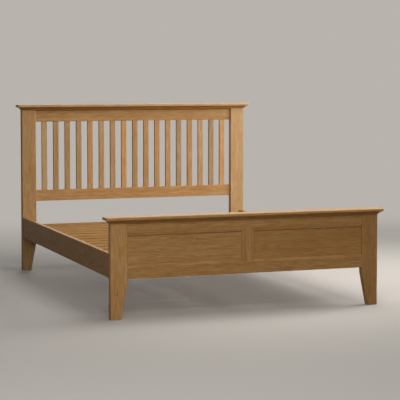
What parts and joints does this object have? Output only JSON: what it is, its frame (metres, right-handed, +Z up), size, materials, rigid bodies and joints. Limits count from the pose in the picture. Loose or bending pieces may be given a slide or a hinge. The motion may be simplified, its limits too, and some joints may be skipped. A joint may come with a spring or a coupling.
{
  "type": "panel bed",
  "caption": "King-size oak bed frame with a slatted headboard, a panelled footboard, moulded caps, bolted side rails and a slatted base.",
  "frame": {"origin": "on the floor under the middle of the bed's outline", "axes": "+X to the right seen from the foot of the bed, footboard at -Y, headboard at +Y, +Z up"},
  "size_m": [1.633, 2.151, 1.104],
  "materials": {
    "oak": "satin lacquer",
    "slat_wood": "planed, unlacquered",
    "dowel_beech": "plain",
    "zinc_plated_steel": "zinc plated"
  },
  "bodies": {
    "root": {"headboard_post_left": "oak", "headboard_post_right": "oak", "headboard_top_rail": "oak", "headboard_middle_rail": "oak", "headboard_bottom_rail": "oak", "headboard_cove": "oak", "headboard_cap": "oak", "headboard_slat_01": "oak", "headboard_slat_02": "oak", "headboard_slat_03": "oak", "headboard_slat_04": "oak", "headboard_slat_05": "oak", "headboard_slat_06": "oak", "headboard_slat_07": "oak", "headboard_slat_08": "oak", "headboard_slat_09": "oak", "headboard_slat_10": "oak", "headboard_slat_11": "oak", "headboard_slat_12": "oak", "headboard_slat_13": "oak", "headboard_slat_14": "oak", "headboard_slat_15": "oak", "headboard_slat_16": "oak", "headboard_slat_17": "oak", "footboard_post_left": "oak", "footboard_post_right": "oak", "footboard_top_rail": "oak", "footboard_bottom_rail": "oak", "footboard_muntin": "oak", "footboard_panel_left": "oak", "footboard_panel_right": "oak", "footboard_cove": "oak", "footboard_cap": "oak", "side_rail_left": "oak", "side_rail_right": "oak", "slat_bearer_left": "slat_wood", "slat_bearer_right": "slat_wood", "centre_rail": "slat_wood", "bed_slat_01": "slat_wood", "bed_slat_02": "slat_wood", "bed_slat_03": "slat_wood", "bed_slat_04": "slat_wood", "bed_slat_05": "slat_wood", "bed_slat_06": "slat_wood", "bed_slat_07": "slat_wood", "bed_slat_08": "slat_wood", "bed_slat_09": "slat_wood", "bed_slat_10": "slat_wood", "bed_slat_11": "slat_wood", "bed_slat_12": "slat_wood", "bed_slat_13": "slat_wood", "bed_slat_14": "slat_wood", "bed_slat_15": "slat_wood", "locating_dowels": "dowel_beech", "centre_rail_hanger_foot": "zinc_plated_steel", "centre_rail_hanger_head": "zinc_plated_steel", "side_rail_studs": "zinc_plated_steel", "crescent_washers": "zinc_plated_steel", "stud_nuts": "zinc_plated_steel"}
  },
  "joints": []
}
